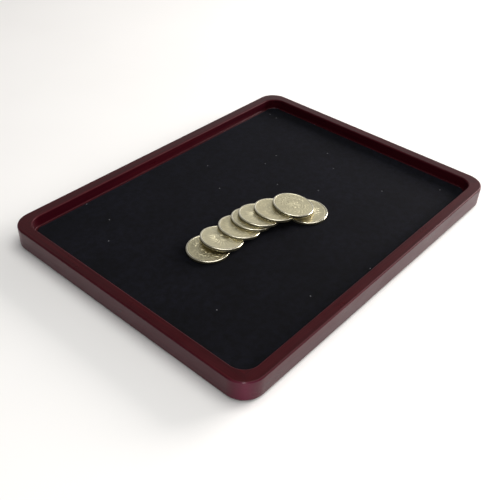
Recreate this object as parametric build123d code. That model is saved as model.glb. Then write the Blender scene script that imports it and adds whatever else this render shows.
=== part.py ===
from build123d import *
import os

# Coin display tray: a shallow lacquered frame of four mitred rails round a velour-lined
# bed, with eight loose coins fanned out on it. Millimetres; +X along the long side,
# +Z up, origin under the middle of the tray on the surface that it stands on.

# Driving dimensions of the tray.
LENGTH = 225.0  # outside, along X
WIDTH = 173.0  # outside, along Y
FRAME_HEIGHT = 12.0  # a rail, from its underside to its top
FOOT_HEIGHT = 1.2
CORNER_RADIUS = 12.0  # outside corners, in plan
RECESS_RADIUS = 9.0  # inside corners of the recess, in plan
CUTTER_RADIUS = 3.0  # hidden inside corners, in plan
RAIL_WIDTH = 14.0  # from the outer face to the bed's opening
WALL = 6.6  # upstanding edge of a rail, seen from above
RECESS_DEPTH = 6.6  # from the rim down to the ledge
REBATE_DEPTH = 2.7  # in the underside, for the base board
REBATE_WIDTH = 4.0
OUTER_ROUND = 0.9  # rounding of the rim's outer edge
INNER_ROUND = 0.8  # rounding of the rim's inner edge
BOTTOM_ROUND = 0.8

# Boards, lining, feet and fixings.
BOARD_THICKNESS = 2.7
BOARD_PLAY = 0.1  # gap round each board
VELOUR_THICKNESS = 0.8
VELOUR_MARGIN = 1.8  # strip of bare ledge left along the walls
FOOT_DIAMETER = 12.0
FOOT_INSET = 20.0  # foot centre, from both outer faces
SPLINE_LENGTH = 9.0  # along the mitre
SPLINE_WIDTH = 11.0  # across the mitre
SPLINE_THICKNESS = 1.5
SPLINE_INSET = 9.5  # centre, from both outer faces
PIN_DIAMETER = 1.0
PIN_LENGTH = 4.6
PIN_HEAD_DIAMETER = 2.0
PIN_HEAD_HEIGHT = 0.4
PIN_PLAY = 0.02  # round a pin, on the radius
PINS_PER_LONG_SIDE = 3
PINS_PER_SHORT_SIDE = 2
PIN_SPACING = 65.0

# Coins.
COIN_DIAMETER = 24.2
COIN_THICKNESS = 1.75
COIN_RIM = 1.1  # width of the raised rim
COIN_SINK = 0.12  # depth of each face below the rim
COIN_EDGE_ROUND = 0.2
COIN_GAP = 0.05  # left between a coin and what it lies on
RIM_STEPS = 180  # points tried round a coin's edge when it is laid

# Where each coin lies: middle x and y, how far it leans in degrees, and the heading
# that it leans towards, in degrees from +X. They are laid in this order.
COIN_PLACES = {
    "coin_1": (-49.4, -3.5, 0.0, 0.0),
    "coin_8": (15.1, -21.0, 0.0, 0.0),
    "coin_2": (-39.9, -4.5, 8.5, -6.0),
    "coin_3": (-25.4, -4.5, 8.0, -10.0),
    "coin_4": (-15.4, -5.0, 8.0, -10.0),
    "coin_5": (-10.9, -6.5, 8.0, -10.0),
    "coin_6": (-1.4, -10.0, 8.0, -14.0),
    "coin_7": (9.1, -15.0, 8.5, -30.0),
}

# Levels, from the surface that the tray stands on.
FRAME_BOTTOM = FOOT_HEIGHT
FRAME_TOP = FRAME_BOTTOM + FRAME_HEIGHT
LEDGE = FRAME_TOP - RECESS_DEPTH
REBATE_TOP = FRAME_BOTTOM + REBATE_DEPTH
REBATE_INSET = RAIL_WIDTH - REBATE_WIDTH
PIN_INSET = RAIL_WIDTH - REBATE_WIDTH / 2

COIN_RADIUS = COIN_DIAMETER / 2

UP_FROM_BASE = (Align.CENTER, Align.CENTER, Align.MIN)


def block(inset, low, high, corner=CUTTER_RADIUS):
    """A slab with rounded corners, its sides inset from the tray's outer faces."""
    outline = RectangleRounded(LENGTH - 2 * inset, WIDTH - 2 * inset, corner)
    return Pos(0, 0, low) * extrude(outline, high - low)


def mitre_region(side):
    """The wedge of the plan that one rail fills, bounded by its two 45 degree mitres."""
    x_end = LENGTH
    y_end = WIDTH / 2 + LENGTH / 2
    x_mid = (LENGTH - WIDTH) / 2
    corners = {
        "front": [(-x_mid, 0), (-x_end, -y_end), (x_end, -y_end), (x_mid, 0)],
        "back": [(x_mid, 0), (x_end, y_end), (-x_end, y_end), (-x_mid, 0)],
        "left": [(-x_mid, 0), (-x_end, y_end), (-x_end, -y_end)],
        "right": [(x_mid, 0), (x_end, -y_end), (x_end, y_end)],
    }[side]
    plan = make_face(Polyline(*corners, close=True))
    return extrude(plan, FRAME_TOP)


def corner_places(inset):
    """The four plan points inset from both outer faces, by corner name."""
    x = LENGTH / 2 - inset
    y = WIDTH / 2 - inset
    return {
        "front_left": (-x, -y),
        "front_right": (x, -y),
        "back_left": (-x, y),
        "back_right": (x, y),
    }


def pin_places():
    """Plan points of the pins: evenly spaced along the middle of the rebate's shelf."""
    x = LENGTH / 2 - PIN_INSET
    y = WIDTH / 2 - PIN_INSET
    for index in range(PINS_PER_LONG_SIDE):
        along = (index - (PINS_PER_LONG_SIDE - 1) / 2) * PIN_SPACING
        yield (along, -y)
        yield (along, y)
    for index in range(PINS_PER_SHORT_SIDE):
        along = (index - (PINS_PER_SHORT_SIDE - 1) / 2) * PIN_SPACING
        yield (-x, along)
        yield (x, along)


def pin(play=0.0):
    """A flat-headed pin standing on its head; with play, the hole that takes it."""
    shank = Cylinder(PIN_DIAMETER / 2 + play, PIN_LENGTH + play, align=UP_FROM_BASE)
    head = Cylinder(PIN_HEAD_DIAMETER / 2 + play, PIN_HEAD_HEIGHT + play, align=UP_FROM_BASE)
    return Pos(0, 0, FRAME_BOTTOM) * (shank + head)


def mitre_spline(corner):
    """A slip of wood let into both rails of a corner, square across their mitre."""
    x, y = corner_places(SPLINE_INSET)[corner]
    turn = 45 if x * y > 0 else -45
    middle = (REBATE_TOP + LEDGE) / 2
    slip = Box(SPLINE_LENGTH, SPLINE_WIDTH, SPLINE_THICKNESS)
    return Pos(x, y, middle) * Rot(0, 0, turn) * slip


def frame(splines, holes):
    """The whole lacquered frame, before it is parted at its mitres."""
    body = block(0, FRAME_BOTTOM, FRAME_TOP, CORNER_RADIUS)
    body = fillet(body.edges().group_by(Axis.Z)[-1], OUTER_ROUND)
    body = fillet(body.edges().group_by(Axis.Z)[0], BOTTOM_ROUND)
    body -= block(WALL, LEDGE, FRAME_TOP, RECESS_RADIUS)
    body -= block(RAIL_WIDTH, FRAME_BOTTOM, LEDGE)
    body -= block(REBATE_INSET, FRAME_BOTTOM, REBATE_TOP)
    rim = body.faces().sort_by(Axis.Z)[-1]
    body = fillet(rim.inner_wires()[0].edges(), INNER_ROUND)
    return body - splines - holes


def coin():
    """A round coin with a raised rim and a sunk field on both faces, lying flat."""
    disc = Cylinder(COIN_RADIUS, COIN_THICKNESS, align=UP_FROM_BASE)
    disc = fillet(disc.edges().filter_by(GeomType.CIRCLE), COIN_EDGE_ROUND)
    field = Cylinder(COIN_RADIUS - COIN_RIM, COIN_SINK, align=UP_FROM_BASE)
    return disc - field - Pos(0, 0, COIN_THICKNESS - COIN_SINK) * field


def rim_points(plane, level):
    """Points round a coin's edge, level above the plane of its underside."""
    for step in range(RIM_STEPS):
        spoke = Vector(COIN_RADIUS, 0, level)
        yield plane.from_local_coords(spoke.rotate(Axis.Z, 360 / RIM_STEPS * step))


def rise(point, plane):
    """Height of a point straight above a coin's underside, if it is over that coin."""
    offset = point - plane.origin
    if offset.X**2 + offset.Y**2 > COIN_RADIUS**2:
        return None
    return offset.dot(plane.z_dir) / plane.z_dir.Z


def resting_height(plane, beneath, bed):
    """How far to raise a coin so that it just clears the bed and the coins beneath it."""
    lifts = [bed - point.Z for point in rim_points(plane, 0)]
    for other in beneath:
        over = [rise(point, plane) for point in rim_points(other, COIN_THICKNESS)]
        lifts += [height for height in over if height is not None]
        top = COIN_THICKNESS / other.z_dir.Z
        under = [rise(point, other) for point in rim_points(plane, 0)]
        lifts += [top - height for height in under if height is not None]
    return max(lifts) + COIN_GAP


def coins(bed):
    """The eight coins, each laid on the bed and on the coins that were there before it."""
    laid = {}
    blank = coin()
    for name, (x, y, lean, heading) in COIN_PLACES.items():
        place = Pos(x, y, 0) * Rot(0, 0, heading) * Rot(0, lean, 0)
        height = resting_height(Plane(place), laid.values(), bed)
        laid[name] = Plane(Pos(0, 0, height) * place)
    return {name: plane.location * blank for name, plane in laid.items()}


def tray():
    """Every piece of the tray itself, by name."""
    splines = {f"mitre_spline_{corner}": mitre_spline(corner) for corner in corner_places(0)}
    places = list(pin_places())
    pins = [Pos(x, y, 0) * pin() for x, y in places]
    holes = [Pos(x, y, 0) * pin(PIN_PLAY) for x, y in places]

    parts = dict(splines)
    whole = frame(list(splines.values()), holes)
    for side in ("front", "back", "left", "right"):
        parts[f"rail_{side}"] = whole & mitre_region(side)

    parts["base_pins"] = Compound(children=pins)
    board = block(REBATE_INSET + BOARD_PLAY, REBATE_TOP - BOARD_THICKNESS, REBATE_TOP)
    parts["base_board"] = board - holes
    parts["infill_board"] = block(RAIL_WIDTH + BOARD_PLAY, LEDGE - BOARD_THICKNESS, LEDGE)
    velour_top = LEDGE + VELOUR_THICKNESS
    velour_radius = RECESS_RADIUS - VELOUR_MARGIN
    parts["velour_lining"] = block(WALL + VELOUR_MARGIN, LEDGE, velour_top, velour_radius)

    foot = Cylinder(FOOT_DIAMETER / 2, FOOT_HEIGHT, align=UP_FROM_BASE)
    for corner, (x, y) in corner_places(FOOT_INSET).items():
        parts[f"foot_{corner}"] = Pos(x, y, 0) * foot
    return parts


pieces = tray()
pieces.update(coins(LEDGE + VELOUR_THICKNESS))

os.makedirs("parts", exist_ok=True)
for node, shape in pieces.items():
    export_step(shape, f"parts/{node}.step")
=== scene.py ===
import math
import random

import bpy
import numpy as np
from mathutils import Matrix, Vector


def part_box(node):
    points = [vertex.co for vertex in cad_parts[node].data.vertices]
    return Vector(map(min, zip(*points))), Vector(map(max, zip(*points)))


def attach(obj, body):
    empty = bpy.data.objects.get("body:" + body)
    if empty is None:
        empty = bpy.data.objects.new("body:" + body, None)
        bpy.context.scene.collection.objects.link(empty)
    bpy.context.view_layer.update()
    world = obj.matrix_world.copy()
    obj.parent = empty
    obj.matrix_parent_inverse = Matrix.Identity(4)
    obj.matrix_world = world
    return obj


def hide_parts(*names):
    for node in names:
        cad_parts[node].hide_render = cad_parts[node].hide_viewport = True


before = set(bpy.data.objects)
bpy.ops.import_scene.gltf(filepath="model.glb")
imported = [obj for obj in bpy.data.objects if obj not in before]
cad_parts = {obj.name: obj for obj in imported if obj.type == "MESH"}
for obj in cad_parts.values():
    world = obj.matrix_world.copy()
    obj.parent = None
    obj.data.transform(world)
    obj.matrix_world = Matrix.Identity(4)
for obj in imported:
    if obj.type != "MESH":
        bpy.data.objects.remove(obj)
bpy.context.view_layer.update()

MM = 0.001  # Blender works in metres
TRAY = "tray"
COINS = [f"coin_{number}" for number in range(1, 9)]
SIDES = {"front": 0, "right": 90, "back": 180, "left": 270}  # headings, in degrees
CORNERS = ("front_left", "front_right", "back_left", "back_right")

# The tray's section and plan, in metres. Levels and outlines come from the imported parts.
CORNER_RADIUS = 12.0 * MM  # outside corners, in plan
RECESS_RADIUS = 9.0 * MM  # corners of the recess
CUTTER_RADIUS = 3.0 * MM  # hidden inside corners
WALL = 6.6 * MM
RAIL_WIDTH = 14.0 * MM
REBATE_INSET = 10.0 * MM
HALF_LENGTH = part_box("rail_right")[1].x
HALF_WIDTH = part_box("rail_back")[1].y
RAIL_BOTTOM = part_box("rail_front")[0].z
RAIL_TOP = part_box("rail_front")[1].z
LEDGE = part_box("infill_board")[1].z
REBATE_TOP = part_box("base_board")[1].z

# Corners of a rail's section: inset from the outer face, height, rounding, radius in plan.
SECTION = (
    (0.0, RAIL_BOTTOM, 0.8 * MM, CORNER_RADIUS),
    (0.0, RAIL_TOP, 0.9 * MM, CORNER_RADIUS),
    (WALL, RAIL_TOP, 0.8 * MM, RECESS_RADIUS),
    (WALL, LEDGE, 0.4 * MM, RECESS_RADIUS),
    (RAIL_WIDTH, LEDGE, 0.2 * MM, CUTTER_RADIUS),
    (RAIL_WIDTH, REBATE_TOP, 0.2 * MM, CUTTER_RADIUS),
    (REBATE_INSET, REBATE_TOP, 0.2 * MM, CUTTER_RADIUS),
    (REBATE_INSET, RAIL_BOTTOM, 0.4 * MM, CUTTER_RADIUS),
)
ARC_STEPS = 7  # faces round one corner of the section
BEND_STEPS = 16  # faces round half a corner of the plan
RUN_STEPS = 40  # faces along the straight of a rail
HALF_CORNER = math.radians(45)
PAINTED_GLOW_SIDES = 0.16  # how much brighter magenta is painted on the outer sides, as painted light
PAINTED_GLOW_BENDS = 0.85  # and on the outside of the bends
PAINTED_GLOW_WALLS = 0.07  # and on the walls of the recess


# ---------------------------------------------------------------- meshes


def new_piece(name, mesh, body, replaced=()):
    piece = bpy.data.objects.new(name, mesh)
    bpy.context.scene.collection.objects.link(piece)
    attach(piece, body)
    if replaced:
        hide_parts(*replaced)
    return piece


def smooth_mesh(name, points, faces):
    mesh = bpy.data.meshes.new(name)
    mesh.from_pydata([tuple(p) for p in points], [], faces)
    mesh.polygons.foreach_set("use_smooth", [True] * len(mesh.polygons))
    mesh.update()
    return mesh


def point_attribute(mesh, name, values):
    attribute = mesh.attributes.new(name, "FLOAT", "POINT")
    attribute.data.foreach_set("value", np.asarray(values, np.float32))


# ---------------------------------------------------------------- materials


class Nodes:
    """A short way to write a material's node tree."""

    def __init__(self, name, **settings):
        self.material = bpy.data.materials.new(name)
        self.material.use_nodes = True
        self.tree = self.material.node_tree
        self.shader = self.tree.nodes["Principled BSDF"]
        for socket, value in settings.items():
            self.shader.inputs[socket.replace("_", " ")].default_value = value

    def add(self, kind, inputs=None, **settings):
        node = self.tree.nodes.new("ShaderNode" + kind)
        for key, value in settings.items():
            setattr(node, key, value)
        for socket, value in (inputs or {}).items():
            self.put(value, node.inputs[socket])
        return node

    def put(self, value, socket):
        if isinstance(value, bpy.types.NodeSocket):
            self.tree.links.new(value, socket)
        else:
            socket.default_value = value

    def place(self, scale):
        """Object coordinates in metres, times a scale for each axis."""
        where = self.add("TexCoord").outputs["Object"]
        return self.add("Mapping", {"Vector": where, "Scale": scale}).outputs["Vector"]

    def noise(self, scale, detail=4.0, roughness=0.5, distortion=0.0):
        """Noise with features 1/scale metres across, along each axis."""
        node = self.add(
            "TexNoise",
            {
                "Vector": self.place(scale),
                "Scale": 1.0,
                "Detail": detail,
                "Roughness": roughness,
                "Distortion": distortion,
            },
        )
        return node.outputs["Fac"]

    def ramp(self, value, *stops):
        """A colour ramp through (position, colour) stops; a colour may be one number."""
        node = self.add("ValToRGB", {"Fac": value})
        elements = node.color_ramp.elements
        while len(elements) < len(stops):
            elements.new(0.5)
        for element, (position, colour) in zip(elements, stops):
            element.position = position
            if isinstance(colour, (int, float)):
                colour = (colour,) * 3
            element.color = (*colour, 1.0)
        return node.outputs["Color"]

    def math(self, operation, first, second=0.0):
        node = self.add("Math", operation=operation)
        self.put(first, node.inputs[0])
        self.put(second, node.inputs[1])
        return node.outputs["Value"]

    def mix(self, share, first, second, blend="MIX"):
        node = self.add("Mix", data_type="RGBA", blend_type=blend)
        self.put(share, node.inputs["Factor"])
        self.put(first, node.inputs["A"])
        self.put(second, node.inputs["B"])
        return node.outputs["Result"]

    def attribute(self, name):
        return self.add("Attribute", attribute_name=name).outputs["Fac"]

    def bump(self, height, distance, strength=1.0):
        inputs = {"Height": height, "Distance": distance, "Strength": strength}
        return self.add("Bump", inputs).outputs["Normal"]

    def shade(self, **sockets):
        for socket, value in sockets.items():
            self.put(value, self.shader.inputs[socket.replace("_", " ")])
        return self.material


def stretched(along, fine, coarse):
    """Scales for a grain that runs along one axis (0 for X, 1 for Y)."""
    return [coarse if axis == along else fine for axis in range(3)]


def lacquered_wood(name, along):
    """Dark mahogany-red wood under a rubbed lacquer, its grain along one axis.

    Edge marks the roundings of the rim, where the lacquer is duller, except round the
    bends. The outer sides, most of all the bends, and faintly the recess walls get a
    brighter magenta painted on as painted light.
    """
    m = Nodes(
        name,
        Specular_IOR_Level=0.22,
        Specular_Tint=(1.0, 0.42, 0.45, 1.0),
        Coat_Roughness=0.10,
        Coat_IOR=1.5,
    )
    figure = m.noise(stretched(along, 420.0, 11.0), detail=6.0, roughness=0.65, distortion=0.5)
    pores = m.noise(stretched(along, 2600.0, 70.0), detail=2.0)
    wood = m.ramp(
        figure,
        (0.30, (0.016, 0.0009, 0.0018)),
        (0.50, (0.027, 0.0016, 0.0031)),
        (0.68, (0.041, 0.0030, 0.0045)),
    )
    wood = m.mix(1.0, wood, m.ramp(pores, (0.30, 0.75), (0.42, 1.0)), "MULTIPLY")
    worn = m.ramp(m.noise([420.0] * 3), (0.55, 0.0), (0.75, 0.35))
    wood = m.mix(m.math("MULTIPLY", m.attribute("edge"), worn), wood, (0.08, 0.014, 0.016, 1.0))
    # painted light: the outer sides and bends get a brighter magenta mixed into the wood colour
    wood = m.mix(m.attribute("painted_glow"), wood, (0.115, 0.0060, 0.0320, 1.0))
    smears = m.noise([38.0, 38.0, 90.0], detail=5.0, roughness=0.65)
    rubbed = m.math("MULTIPLY", m.attribute("edge"), 0.25)
    coat = m.ramp(m.attribute("edge"), (0.0, 0.17), (0.6, 0.02))
    bends = m.math("MULTIPLY", m.attribute("edge"), m.math("POWER", m.attribute("painted_glow"), 2.0))
    peel = m.noise([1100.0] * 3, detail=2.0)
    return m.shade(
        Base_Color=wood,
        Roughness=m.math("ADD", m.ramp(smears, (0.35, 0.27), (0.70, 0.40)), rubbed),
        Coat_Weight=m.math("ADD", coat, m.math("MULTIPLY", bends, 1.6)),
        Coat_Normal=m.bump(peel, 0.02 * MM),
        Normal=m.bump(pores, 0.02 * MM),
    )


def velour_cloth():
    """Black short-pile velour, brushed in soft patches, with a few specks of lint."""
    m = Nodes(
        "velour_cloth",
        Roughness=0.95,
        Specular_IOR_Level=0.1,
        Sheen_Weight=0.035,
        Sheen_Roughness=0.4,
        Sheen_Tint=(0.55, 0.60, 0.90, 1.0),
    )
    brushed = m.noise([26.0, 38.0, 26.0], detail=4.0, roughness=0.6)
    pile = m.noise([2300.0] * 3, detail=3.0, roughness=0.7)
    dark, light = (0.0018, 0.0020, 0.0039), (0.0041, 0.0044, 0.0082)
    nap = m.ramp(brushed, (0.35, dark), (0.70, light))
    mottle = m.noise([260.0] * 3, detail=4.0, roughness=0.65)
    nap = m.mix(1.0, nap, m.ramp(mottle, (0.38, 0.35), (0.62, 1.0)), "MULTIPLY")
    nap = m.mix(1.0, nap, m.ramp(pile, (0.30, 0.55), (0.70, 1.0)), "MULTIPLY")
    plan = m.place([75.0] * 3)
    specks = m.add("TexVoronoi", {"Vector": plan, "Scale": 1.0}, voronoi_dimensions="2D")
    cell = m.add("SeparateColor", {"Color": specks.outputs["Color"]})
    chosen = m.math("GREATER_THAN", cell.outputs["Red"], 0.88)
    lint = m.math("MULTIPLY", m.math("LESS_THAN", specks.outputs["Distance"], 0.026), chosen)
    nap = m.mix(lint, nap, (0.12, 0.12, 0.13, 1.0))
    return m.shade(Base_Color=nap, Normal=m.bump(pile, 0.10 * MM, 0.8))


def coin_metal(name, tone, wear):
    """Struck cupro-nickel: the reeded edge is painted dark as painted shade, and the rim and high
    points are brighter, partly wear and partly painted highlight.
    """
    m = Nodes(name, Metallic=1.0)
    shine = m.attribute("shine")
    tarnish = m.noise([380.0] * 3, detail=5.0, roughness=0.6)
    spread = m.ramp(tarnish, (0.35, 1.0), (0.70, 0.80))
    # painted shade: the reeded edge is painted far darker than the metal
    edge = tuple(0.18 * share for share in tone)
    raised = tuple(1.14 * share for share in tone)
    # painted highlight: the rim is painted much brighter, and the high points brighter too, partly
    # from wear
    metal = m.ramp(
        shine,
        (0.0, edge),
        (FIELD_SHINE, tone),
        (RELIEF_SHINE, raised),
        (1.0, (0.86, 0.81, 0.64)),
    )
    metal = m.mix(1.0, metal, spread, "MULTIPLY")
    roughness = m.ramp(tarnish, (0.30, wear), (0.75, wear + 0.22))
    polish = m.ramp(shine, (0.0, 1.0), (FIELD_SHINE, 0.55), (RELIEF_SHINE, 0.55), (1.0, 0.34))
    lengthwise = m.noise([5200.0, 190.0, 190.0], detail=2.0)
    crosswise = m.noise([170.0, 4600.0, 170.0], detail=2.0)
    scratches = m.math("MAXIMUM", lengthwise, crosswise)
    return m.shade(
        Base_Color=metal,
        Roughness=m.math("MULTIPLY", roughness, polish),
        Normal=m.bump(scratches, 0.012 * MM, 0.7),
    )


def bare_wood(name, along, light, dark, ring=120.0):
    """Plain sanded wood with a straight grain."""
    m = Nodes(name, Specular_IOR_Level=0.3)
    figure = m.noise(stretched(along, ring, 4.0), detail=5.0, roughness=0.6, distortion=1.2)
    fibre = m.noise(stretched(along, 2200.0, 60.0), detail=3.0)
    wood = m.ramp(figure, (0.30, dark), (0.62, light))
    wood = m.mix(1.0, wood, m.ramp(fibre, (0.30, 0.86), (0.60, 1.0)), "MULTIPLY")
    roughness = m.ramp(fibre, (0.3, 0.72), (0.7, 0.60))
    return m.shade(Base_Color=wood, Roughness=roughness, Normal=m.bump(fibre, 0.04 * MM))


def drawn_steel():
    m = Nodes("drawn_steel", Metallic=1.0)
    stain = m.noise([900.0] * 3, detail=4.0)
    colour = m.ramp(stain, (0.35, (0.42, 0.42, 0.43)), (0.65, (0.56, 0.56, 0.57)))
    return m.shade(Base_Color=colour, Roughness=m.ramp(stain, (0.3, 0.28), (0.7, 0.45)))


def pressed_felt():
    m = Nodes(
        "pressed_felt",
        Roughness=0.97,
        Specular_IOR_Level=0.1,
        Sheen_Weight=0.25,
        Sheen_Roughness=0.5,
    )
    fibre = m.noise([1500.0] * 3, detail=4.0, roughness=0.75, distortion=1.5)
    colour = m.ramp(fibre, (0.30, (0.012, 0.012, 0.013)), (0.70, (0.040, 0.040, 0.042)))
    return m.shade(Base_Color=colour, Normal=m.bump(fibre, 0.12 * MM))


# ---------------------------------------------------------------- rails


def rounded_section():
    """Points round the rail's section, as (inset, height, plan radius, out, up, edge).

    Out and up are the point's normal, and edge rises to 1 on the roundings of the rim.
    """
    section = []
    for index, (inset, height, rounding, radius) in enumerate(SECTION):
        here = Vector((inset, height))
        before = (Vector(SECTION[index - 1][:2]) - here).normalized()
        after = (Vector(SECTION[(index + 1) % len(SECTION)][:2]) - here).normalized()
        convex = before.cross(after) > 0
        centre = here + (before + after) * rounding
        on_rim = convex and height == RAIL_TOP
        for step in range(ARC_STEPS + 1):
            angle = math.pi / 2 * step / ARC_STEPS
            spoke = -(after * math.cos(angle) + before * math.sin(angle))
            point = centre + spoke * rounding
            normal = spoke if convex else -spoke
            edge = math.sin(2 * angle) if on_rim else 0.0
            section.append((*point, radius + inset - point.x, *normal, edge))
    return section


def rail_stations():
    """(turn, run) along a rail: turn swings from one mitre to the other, run goes along."""
    for step in range(BEND_STEPS):
        yield -HALF_CORNER * (1 - step / BEND_STEPS), -1.0
    for step in range(RUN_STEPS + 1):
        yield 0.0, 2 * step / RUN_STEPS - 1
    for step in range(BEND_STEPS):
        yield HALF_CORNER * (step + 1) / BEND_STEPS, 1.0


def rail_mesh(name, half_run, half_depth, heading):
    """A closed rail, mitre to mitre, built facing -Y and turned to its heading."""
    section = rounded_section()
    turn_to = Matrix.Rotation(math.radians(heading), 3, "Z")
    points, normals, edges, painted_glow = [], [], [], []
    for turn, run in rail_stations():
        for inset, height, radius, out, up, edge in section:
            x = run * (half_run - inset - radius) + radius * math.sin(turn)
            y = -(half_depth - inset - radius) - radius * math.cos(turn)
            points.append(turn_to @ Vector((x, y, height)))
            normals.append(turn_to @ Vector((-out * math.sin(turn), out * math.cos(turn), up)))
            edges.append(edge)
            bend = math.sin(abs(turn)) / math.sin(HALF_CORNER)
            outer = PAINTED_GLOW_SIDES + (PAINTED_GLOW_BENDS - PAINTED_GLOW_SIDES) * bend
            # painted light: share of brighter magenta painted on this point, more on outer sides
            # and bends, faintly on the recess walls
            painted_glow.append(-out * outer if out < 0 else out * PAINTED_GLOW_WALLS)

    ring = len(section)
    stations = len(points) // ring
    faces = [tuple(range(ring)), tuple(reversed(range(len(points) - ring, len(points))))]
    for station in range(stations - 1):
        for index in range(ring):
            a = station * ring + index
            b = station * ring + (index + 1) % ring
            faces.append((b, a, a + ring, b + ring))
    mesh = smooth_mesh(name, points, faces)
    loop_normals = []
    for polygon in mesh.polygons:
        if polygon.index < 2:
            loop_normals += [polygon.normal.copy()] * polygon.loop_total
        else:
            loop_normals += [normals[vertex] for vertex in polygon.vertices]
    mesh.normals_split_custom_set(loop_normals)
    point_attribute(mesh, "edge", edges)
    point_attribute(mesh, "painted_glow", painted_glow)
    return mesh


def build_rails():
    along_x = lacquered_wood("lacquered_wood_along_x", 0)
    along_y = lacquered_wood("lacquered_wood_along_y", 1)
    for side, heading in SIDES.items():
        lengthwise = heading % 180 == 0
        halves = (HALF_LENGTH, HALF_WIDTH) if lengthwise else (HALF_WIDTH, HALF_LENGTH)
        mesh = rail_mesh(f"{side}_rail", *halves, heading)
        mesh.materials.append(along_x if lengthwise else along_y)
        new_piece(f"{side}_rail", mesh, TRAY, [f"rail_{side}"])


# ---------------------------------------------------------------- velour


def squared_to_outline(u, v, half_x, half_y, radius):
    """Moves a point of the unit square's grid onto the rounded rectangle's plan."""
    x, y = u * half_x, v * half_y
    over_x, over_y = abs(x) - (half_x - radius), abs(y) - (half_y - radius)
    if over_x > 0 and over_y > 0:
        reach = math.hypot(over_x, over_y)
        pull = max(over_x, over_y) / reach
        x = math.copysign(half_x - radius + over_x * pull, x)
        y = math.copysign(half_y - radius + over_y * pull, y)
    return x, y


def draw_waves(draw, steepest, count):
    """Plane waves in random directions, as (kx, ky, phase), with k in radians per metre."""
    return [
        (draw.uniform(-steepest, steepest), draw.uniform(-steepest, steepest), draw.uniform(0, 6.3))
        for _ in range(count)
    ]


def ripple(x, y, waves):
    """A small smooth unevenness, between -1 and 1."""
    total = sum(math.sin(kx * x + ky * y + phase) for kx, ky, phase in waves)
    return total / len(waves)


VELOUR_CELLS = (300, 226)
VELOUR_EDGE = 0.35 * MM  # how far in the cut edge is rounded
SWAY = 0.045 * MM  # height of the long waves of the face
NAP = 0.018 * MM  # height of the short ones


def velour_points(low, high):
    """Points of the sheet's rim (layer 0, below) and face (layer 1), and their numbers."""
    draw = random.Random(11)
    long_waves = draw_waves(draw, 90, 7)
    short_waves = draw_waves(draw, 1400, 9)
    half_x, half_y = high.x, high.y
    radius = RECESS_RADIUS + WALL - (HALF_LENGTH - half_x)
    columns, rows = VELOUR_CELLS
    points = []
    number_of = {}
    for layer in (0, 1):
        for row in range(rows + 1):
            for column in range(columns + 1):
                on_border = column in (0, columns) or row in (0, rows)
                if layer == 0 and not on_border:
                    continue
                u, v = 2 * column / columns - 1, 2 * row / rows - 1
                x, y = squared_to_outline(u, v, half_x, half_y, radius)
                z = low.z
                if layer == 1:
                    near_edge = min(half_x - abs(x), half_y - abs(y), VELOUR_EDGE) / VELOUR_EDGE
                    crown = math.sqrt(max(0.0, 1 - (1 - near_edge) ** 2))
                    sway = SWAY * (ripple(x, y, long_waves) - 1)
                    nap = NAP * (ripple(x, y, short_waves) - 1)
                    z = high.z - VELOUR_EDGE * (1 - crown) + (sway + nap)
                number_of[layer, column, row] = len(points)
                points.append((x, y, z))
    return points, number_of


def velour_faces(number_of):
    """The face's grid, the cut edge all round and one flat face underneath."""
    columns, rows = VELOUR_CELLS
    faces = []
    for row in range(rows):
        for column in range(columns):
            cell = ((column, row), (column + 1, row), (column + 1, row + 1), (column, row + 1))
            faces.append(tuple(number_of[1, c, r] for c, r in cell))
    rim = [(c, 0) for c in range(columns)] + [(columns, r) for r in range(rows)]
    rim += [(c, rows) for c in range(columns, 0, -1)] + [(0, r) for r in range(rows, 0, -1)]
    for here, after in zip(rim, rim[1:] + rim[:1]):
        below = number_of[(0, *here)], number_of[(0, *after)]
        above = number_of[(1, *after)], number_of[(1, *here)]
        faces.append(below + above)
    faces.append(tuple(number_of[(0, *place)] for place in reversed(rim)))
    return faces


def build_velour():
    low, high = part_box("velour_lining")
    points, number_of = velour_points(low, high)
    mesh = smooth_mesh("velour_sheet", points, velour_faces(number_of))
    mesh.materials.append(velour_cloth())
    sheet = new_piece("velour_sheet", mesh, TRAY, ["velour_lining"])


# ---------------------------------------------------------------- coins

# The coins' sizes are in millimetres. coin_mesh turns them into metres.
COIN_RADIUS = 12.1
COIN_HALF = 0.875  # half the thickness, at the rim
COIN_ROUND = 0.42  # rounding of the outer edge
COIN_SINK = 0.12  # the field below the rim
COIN_FIELD = 11.0  # radius of the field
COIN_STEP = 0.12  # width of the slope from the field to the rim
RIM_CROWN = 0.03  # the rim's top is higher along its middle
RELIEF = 0.105  # height of the relief over the field
FACE_RINGS = 68
REEDS = 96
SPOKES = 4 * REEDS
REED_DEPTH = 0.13
BEADS = {"count": 76, "radius": 10.25, "size": 0.36}
SPRAY_RADIUS = 7.55  # of the arc that the wreath's leaves stand on
LEAF_PAIRS = 9  # on each side of the wreath
PETALS = 8
RAYS = 24
FIELD_SHINE = 0.25  # of a coin's flat field, between its edge (0) and its rim (1)
RELIEF_SHINE = 0.75  # of the highest points of its relief


def leaf(x, y, root, angle, length, width):
    """Height of one pointed leaf, with a midrib, over the face's points."""
    dx, dy = x - root[0], y - root[1]
    along = (dx * math.cos(angle) + dy * math.sin(angle)) / length
    across = -dx * math.sin(angle) + dy * math.cos(angle)
    half = width * np.sqrt(np.clip(np.sin(np.pi * np.clip(along, 0, 1) ** 0.8), 0, 1)) + 1e-6
    body = np.sqrt(np.clip(1 - (across / half) ** 2, 0, 1))
    rib = 0.45 * np.exp(-((across / 0.09) ** 2))
    return np.clip(body * (1 - rib), 0, 1) * ((along > 0) & (along < 1))


def dome(x, y, radius):
    return np.sqrt(np.clip(1 - (x**2 + y**2) / radius**2, 0, 1))


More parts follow.
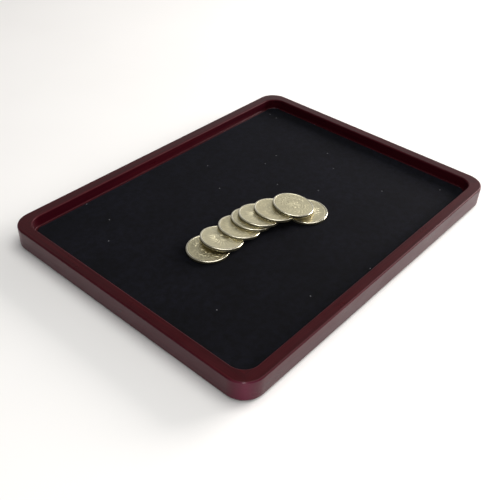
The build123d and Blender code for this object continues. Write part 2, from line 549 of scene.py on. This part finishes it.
def beads(x, y, count, radius, size):
    """A ring of small round beads."""
    turn = np.arctan2(y, x) * count / (2 * np.pi)
    around = (turn - np.round(turn)) * 2 * np.pi * radius / count
    outward = np.hypot(x, y) - radius
    return dome(around, outward, size)


def ring(x, y, radius, width):
    """A half-round ridge along a circle; width is half its real width."""
    return np.sqrt(np.clip(1 - ((np.hypot(x, y) - radius) / width) ** 2, 0, 1))


def wreath_face(x, y):
    """Two leafy sprays round an eight-petalled rosette."""
    height = beads(x, y, **BEADS) * 0.8
    for side in (-1, 1):
        for pair in range(LEAF_PAIRS):
            around = math.radians(-78 + 17 * pair)
            root = (side * SPRAY_RADIUS * math.cos(around), SPRAY_RADIUS * math.sin(around))
            forward = math.atan2(math.cos(around), -side * math.sin(around))
            for spread in (-0.62, 0.62):
                height = np.maximum(height, leaf(x, y, root, forward + spread, 2.6, 0.52))
            height = np.maximum(height, leaf(x, y, root, forward, 2.5, 0.14) * 0.6)
    for petal in range(PETALS):
        angle = math.radians(45 * petal + 22.5)
        root = (0.9 * math.cos(angle), 0.9 * math.sin(angle))
        height = np.maximum(height, leaf(x, y, root, angle, 3.4, 0.95))
    height = np.maximum(height, dome(x, y, 0.95))
    return np.maximum(height, ring(x, y, 5.2, 0.2) * 0.6)


def sunburst_face(x, y):
    """Long rays round a stepped boss, inside a ring of beads."""
    height = beads(x, y, **BEADS) * 0.8
    for ray in range(RAYS):
        angle = math.radians(15 * ray)
        length = 5.4 if ray % 2 else 4.2
        root = (3.5 * math.cos(angle), 3.5 * math.sin(angle))
        height = np.maximum(height, leaf(x, y, root, angle, length, 0.36))
    for radius, width in ((3.0, 0.28), (2.1, 0.2)):
        height = np.maximum(height, ring(x, y, radius, width))
    return np.maximum(height, dome(x, y, 1.4))


def coin_ring_radii():
    """Radii of the face's rings: even over the field, and one at its outer edge."""
    return [*np.linspace(0.12, COIN_FIELD - 0.10, FACE_RINGS), COIN_FIELD]


def coin_profile():
    """(radius, height, reeding) from the rim's inner edge over it and down to mid-height."""
    rim_middle = (COIN_FIELD + COIN_STEP + COIN_RADIUS - COIN_ROUND) / 2
    rim_half = (COIN_RADIUS - COIN_ROUND - COIN_FIELD - COIN_STEP) / 2
    for step in range(5):
        share = step / 2 - 1
        yield rim_middle + share * rim_half, COIN_HALF - RIM_CROWN * share**2, 0.0
    for step in range(1, 5):
        angle = math.radians(22.5 * step)
        radius = COIN_RADIUS - COIN_ROUND * (1 - math.sin(angle))
        height = COIN_HALF - RIM_CROWN - COIN_ROUND * (1 - math.cos(angle))
        yield radius, height, max(0, step - 2) / 2
    yield COIN_RADIUS, COIN_HALF / 3, 1.0


def relief_shine(relief):
    """Shine of a point of the face from its relief, between 0 and 1."""
    return FIELD_SHINE + (RELIEF_SHINE - FIELD_SHINE) * relief


def coin_side(face):
    """Rings of points and their shine, from the middle of one face down to its edge."""
    angles = np.arange(SPOKES) * 2 * np.pi / SPOKES
    reeding = np.array([0, 1, 1, 0] * REEDS)
    field = COIN_HALF - COIN_SINK
    rings = []
    for radius in coin_ring_radii():
        x, y = radius * np.cos(angles), radius * np.sin(angles)
        relief = face(x, y)
        rings.append((x, y, field + RELIEF * relief, relief_shine(relief)))
    for radius, height, share in coin_profile():
        reach = radius - REED_DEPTH * share * reeding
        x, y = reach * np.cos(angles), reach * np.sin(angles)
        rings.append((x, y, np.full(SPOKES, height), np.full(SPOKES, 1 - share)))
    middle = float(face(np.zeros(1), np.zeros(1))[0])
    return rings, field + RELIEF * middle, relief_shine(middle)


def coin_mesh():
    """A whole coin, lying flat with its middle at the origin, in metres."""
    obverse, top, top_shine = coin_side(wreath_face)
    reverse, bottom, bottom_shine = coin_side(sunburst_face)
    rings = obverse + [(x, y, -z, shine) for x, y, z, shine in reversed(reverse)]
    points = [(0.0, 0.0, top)]
    shines = [top_shine]
    for x, y, z, shine in rings:
        points += list(zip(x.tolist(), y.tolist(), z.tolist()))
        shines += shine.tolist()
    points.append((0.0, 0.0, -bottom))
    shines.append(bottom_shine)

    faces = []
    last = len(points) - 1
    for spoke in range(SPOKES):
        after = (spoke + 1) % SPOKES
        faces.append((0, 1 + spoke, 1 + after))
        faces.append((last, last - SPOKES + after, last - SPOKES + spoke))
        for level in range(len(rings) - 1):
            a = 1 + level * SPOKES
            faces.append((a + spoke, a + SPOKES + spoke, a + SPOKES + after, a + after))
    mesh = smooth_mesh("struck_coin", [[c * MM for c in p] for p in points], faces)
    point_attribute(mesh, "shine", shines)
    return mesh


def coin_place(node):
    """The middle and the upward normal of a coin in the frame."""
    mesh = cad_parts[node].data
    points = np.empty(len(mesh.vertices) * 3, np.float32)
    mesh.vertices.foreach_get("co", points)
    points = points.reshape(-1, 3).astype(float)
    low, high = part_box(node)
    middle = (low + high) / 2
    axes = np.linalg.svd(points - np.array(middle), full_matrices=False)[2]
    normal = Vector(axes[2])
    return middle, normal * (1 if normal.z > 0 else -1)


def build_coins():
    draw = random.Random(5)
    looks = (  # tone and wear
        ((0.73, 0.67, 0.45), 0.50),
        ((0.77, 0.71, 0.49), 0.55),
        ((0.70, 0.64, 0.43), 0.60),
    )
    metals = [coin_metal(f"coin_metal_{i + 1}", *look) for i, look in enumerate(looks)]
    blank = coin_mesh()
    for index, node in enumerate(COINS):
        mesh = blank.copy()
        mesh.name = f"struck_{node}"
        mesh.materials.append(metals[index % len(metals)])
        middle, normal = coin_place(node)
        spin = Matrix.Rotation(draw.uniform(0, 2 * math.pi), 4, "Z")
        flip = Matrix.Rotation(math.pi if index % 3 == 1 else 0.0, 4, "X")
        lean = normal.to_track_quat("Z", "Y").to_matrix().to_4x4()
        mesh.transform(Matrix.Translation(middle) @ lean @ spin @ flip)
        new_piece(f"struck_{node}", mesh, f"{node}_body", [node])


# ---------------------------------------------------------------- underside


def foot_mesh(name, low, high, seed):
    """A punched felt pad: a disc with soft edges and a slightly uneven outline."""
    draw = random.Random(seed)
    waves = [(draw.randint(3, 17), draw.uniform(0, 6.3)) for _ in range(5)]
    middle = (low + high) / 2
    radius = (high.x - low.x) / 2
    half = (high.z - low.z) / 2
    soft = 0.3 * MM  # rounding of the cut edge
    spokes = 72
    levels = [(radius * share, -half) for share in (0.3, 0.6, 0.85)]
    levels += [
        (radius - soft + soft * math.sin(angle), -half + soft * (1 - math.cos(angle)))
        for angle in np.linspace(0, math.pi / 2, 5)
    ]
    levels += [(r, -z) for r, z in reversed(levels)]
    points = [(middle.x, middle.y, middle.z - half)]
    for reach, height in levels:
        for spoke in range(spokes):
            angle = 2 * math.pi * spoke / spokes
            uneven = sum(math.sin(n * angle + phase) for n, phase in waves) / len(waves)
            r = reach * (0.992 + 0.008 * uneven)
            x, y = middle.x + r * math.cos(angle), middle.y + r * math.sin(angle)
            points.append((x, y, middle.z + height))
    points.append((middle.x, middle.y, middle.z + half))
    faces = []
    last = len(points) - 1
    for spoke in range(spokes):
        after = (spoke + 1) % spokes
        faces.append((0, 1 + after, 1 + spoke))
        faces.append((last, last - spokes + spoke, last - spokes + after))
        for level in range(len(levels) - 1):
            a = 1 + level * spokes
            faces.append((a + spoke, a + after, a + spokes + after, a + spokes + spoke))
    return smooth_mesh(name, points, faces)


def build_underside():
    felt = pressed_felt()
    for number, corner in enumerate(CORNERS):
        low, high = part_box(f"foot_{corner}")
        mesh = foot_mesh(f"felt_foot_{corner}", low, high, number)
        mesh.materials.append(felt)
        foot = new_piece(f"felt_foot_{corner}", mesh, TRAY, [f"foot_{corner}"])
    birch = bare_wood("birch_plywood", 0, (0.62, 0.46, 0.29), (0.50, 0.35, 0.21))
    slip = bare_wood("spline_wood", 1, (0.66, 0.50, 0.32), (0.52, 0.37, 0.22), ring=600.0)
    finish = {"base_board": birch, "infill_board": birch, "base_pins": drawn_steel()}
    finish.update({f"mitre_spline_{corner}": slip for corner in CORNERS})
    for node, material in finish.items():
        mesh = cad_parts[node].data
        mesh.materials.clear()
        mesh.materials.append(material)


# ---------------------------------------------------------------- stage

CAMERA_AT = Vector((-0.2642, -0.2090, 0.2463))
CAMERA_LOOKS_AT = Vector((-0.0342, -0.0202, 0.0080))
CAMERA_ROLL = math.radians(2.78)
CAMERA_LENS = 50.8


def add_camera():
    camera = bpy.data.cameras.new("camera")
    camera.lens = CAMERA_LENS
    camera.sensor_width = 36.0
    camera.clip_start = 0.01
    holder = bpy.data.objects.new("camera", camera)
    bpy.context.scene.collection.objects.link(holder)
    aim = (CAMERA_LOOKS_AT - CAMERA_AT).to_track_quat("-Z", "Y").to_matrix().to_4x4()
    holder.matrix_world = Matrix.Translation(CAMERA_AT) @ aim @ Matrix.Rotation(CAMERA_ROLL, 4, "Z")
    bpy.context.scene.camera = holder


PANELS = (  # name, place, width and height, watts, colour
    ("key_panel", (0.20, -0.12, 1.12), (0.8, 0.8), 8.0, (1.0, 0.985, 0.96)),
    ("low_panel", (0.92, -0.31, 0.33), (0.60, 0.34), 14.0, (1.0, 0.95, 0.92)),
    ("camera_panel", (-0.29, -0.24, 0.34), (0.03, 0.03), 0.5, (1.0, 1.0, 1.0)),
)


def add_panel(name, at, size, energy, colour):
    """A soft rectangular lamp that faces the tray."""
    lamp = bpy.data.lights.new(name, "AREA")
    lamp.shape = "RECTANGLE"
    lamp.size, lamp.size_y = size
    lamp.energy = energy
    lamp.color = colour
    holder = bpy.data.objects.new(name, lamp)
    bpy.context.scene.collection.objects.link(holder)
    at = Vector(at)
    holder.location = at
    holder.rotation_euler = (-at).to_track_quat("-Z", "Y").to_euler()


def add_world():
    """A pale surround, brighter low down and towards +X, dim overhead."""
    world = bpy.data.worlds.new("surround")
    bpy.context.scene.world = world
    world.use_nodes = True
    tree = world.node_tree
    where = tree.nodes.new("ShaderNodeTexCoord")
    split = tree.nodes.new("ShaderNodeSeparateXYZ")
    height = tree.nodes.new("ShaderNodeMapRange")
    side = tree.nodes.new("ShaderNodeMapRange")
    glow = tree.nodes.new("ShaderNodeMath")
    glow.operation = "MULTIPLY"
    for node, settings in (
        (height, {"From Min": 0.35, "From Max": 0.75, "To Min": 0.86, "To Max": 0.20}),
        (side, {"From Min": 0.2, "From Max": 0.9, "To Min": 0.45, "To Max": 0.92}),
    ):
        for socket, value in settings.items():
            node.inputs[socket].default_value = value
    tree.links.new(where.outputs["Generated"], split.inputs["Vector"])
    tree.links.new(split.outputs["Z"], height.inputs["Value"])
    tree.links.new(split.outputs["X"], side.inputs["Value"])
    tree.links.new(height.outputs["Result"], glow.inputs[0])
    tree.links.new(side.outputs["Result"], glow.inputs[1])
    tree.links.new(glow.outputs["Value"], tree.nodes["Background"].inputs["Color"])
    tree.nodes["Background"].inputs["Strength"].default_value = 1.0


FLOOR_REACH = 3.0


def add_floor():
    signs = ((-1, -1), (1, -1), (1, 1), (-1, 1))
    corners = [(x * FLOOR_REACH, y * FLOOR_REACH, 0) for x, y in signs]
    mesh = bpy.data.meshes.new("floor")
    mesh.from_pydata(corners, [], [(0, 1, 2, 3)])
    m = Nodes("pale_floor", Roughness=0.9, Specular_IOR_Level=0.2)
    patches = m.noise([9.0] * 3, detail=2.0)
    tone = m.ramp(patches, (0.3, (0.86, 0.855, 0.845)), (0.7, (0.88, 0.875, 0.865)))
    mesh.materials.append(m.shade(Base_Color=tone))
    floor = bpy.data.objects.new("floor", mesh)
    bpy.context.scene.collection.objects.link(floor)


def build_stage():
    add_world()
    add_floor()
    for panel in PANELS:
        add_panel(*panel)


add_camera()
build_stage()
build_rails()
build_velour()
build_coins()
build_underside()

bpy.context.scene.view_settings.view_transform = "Standard"
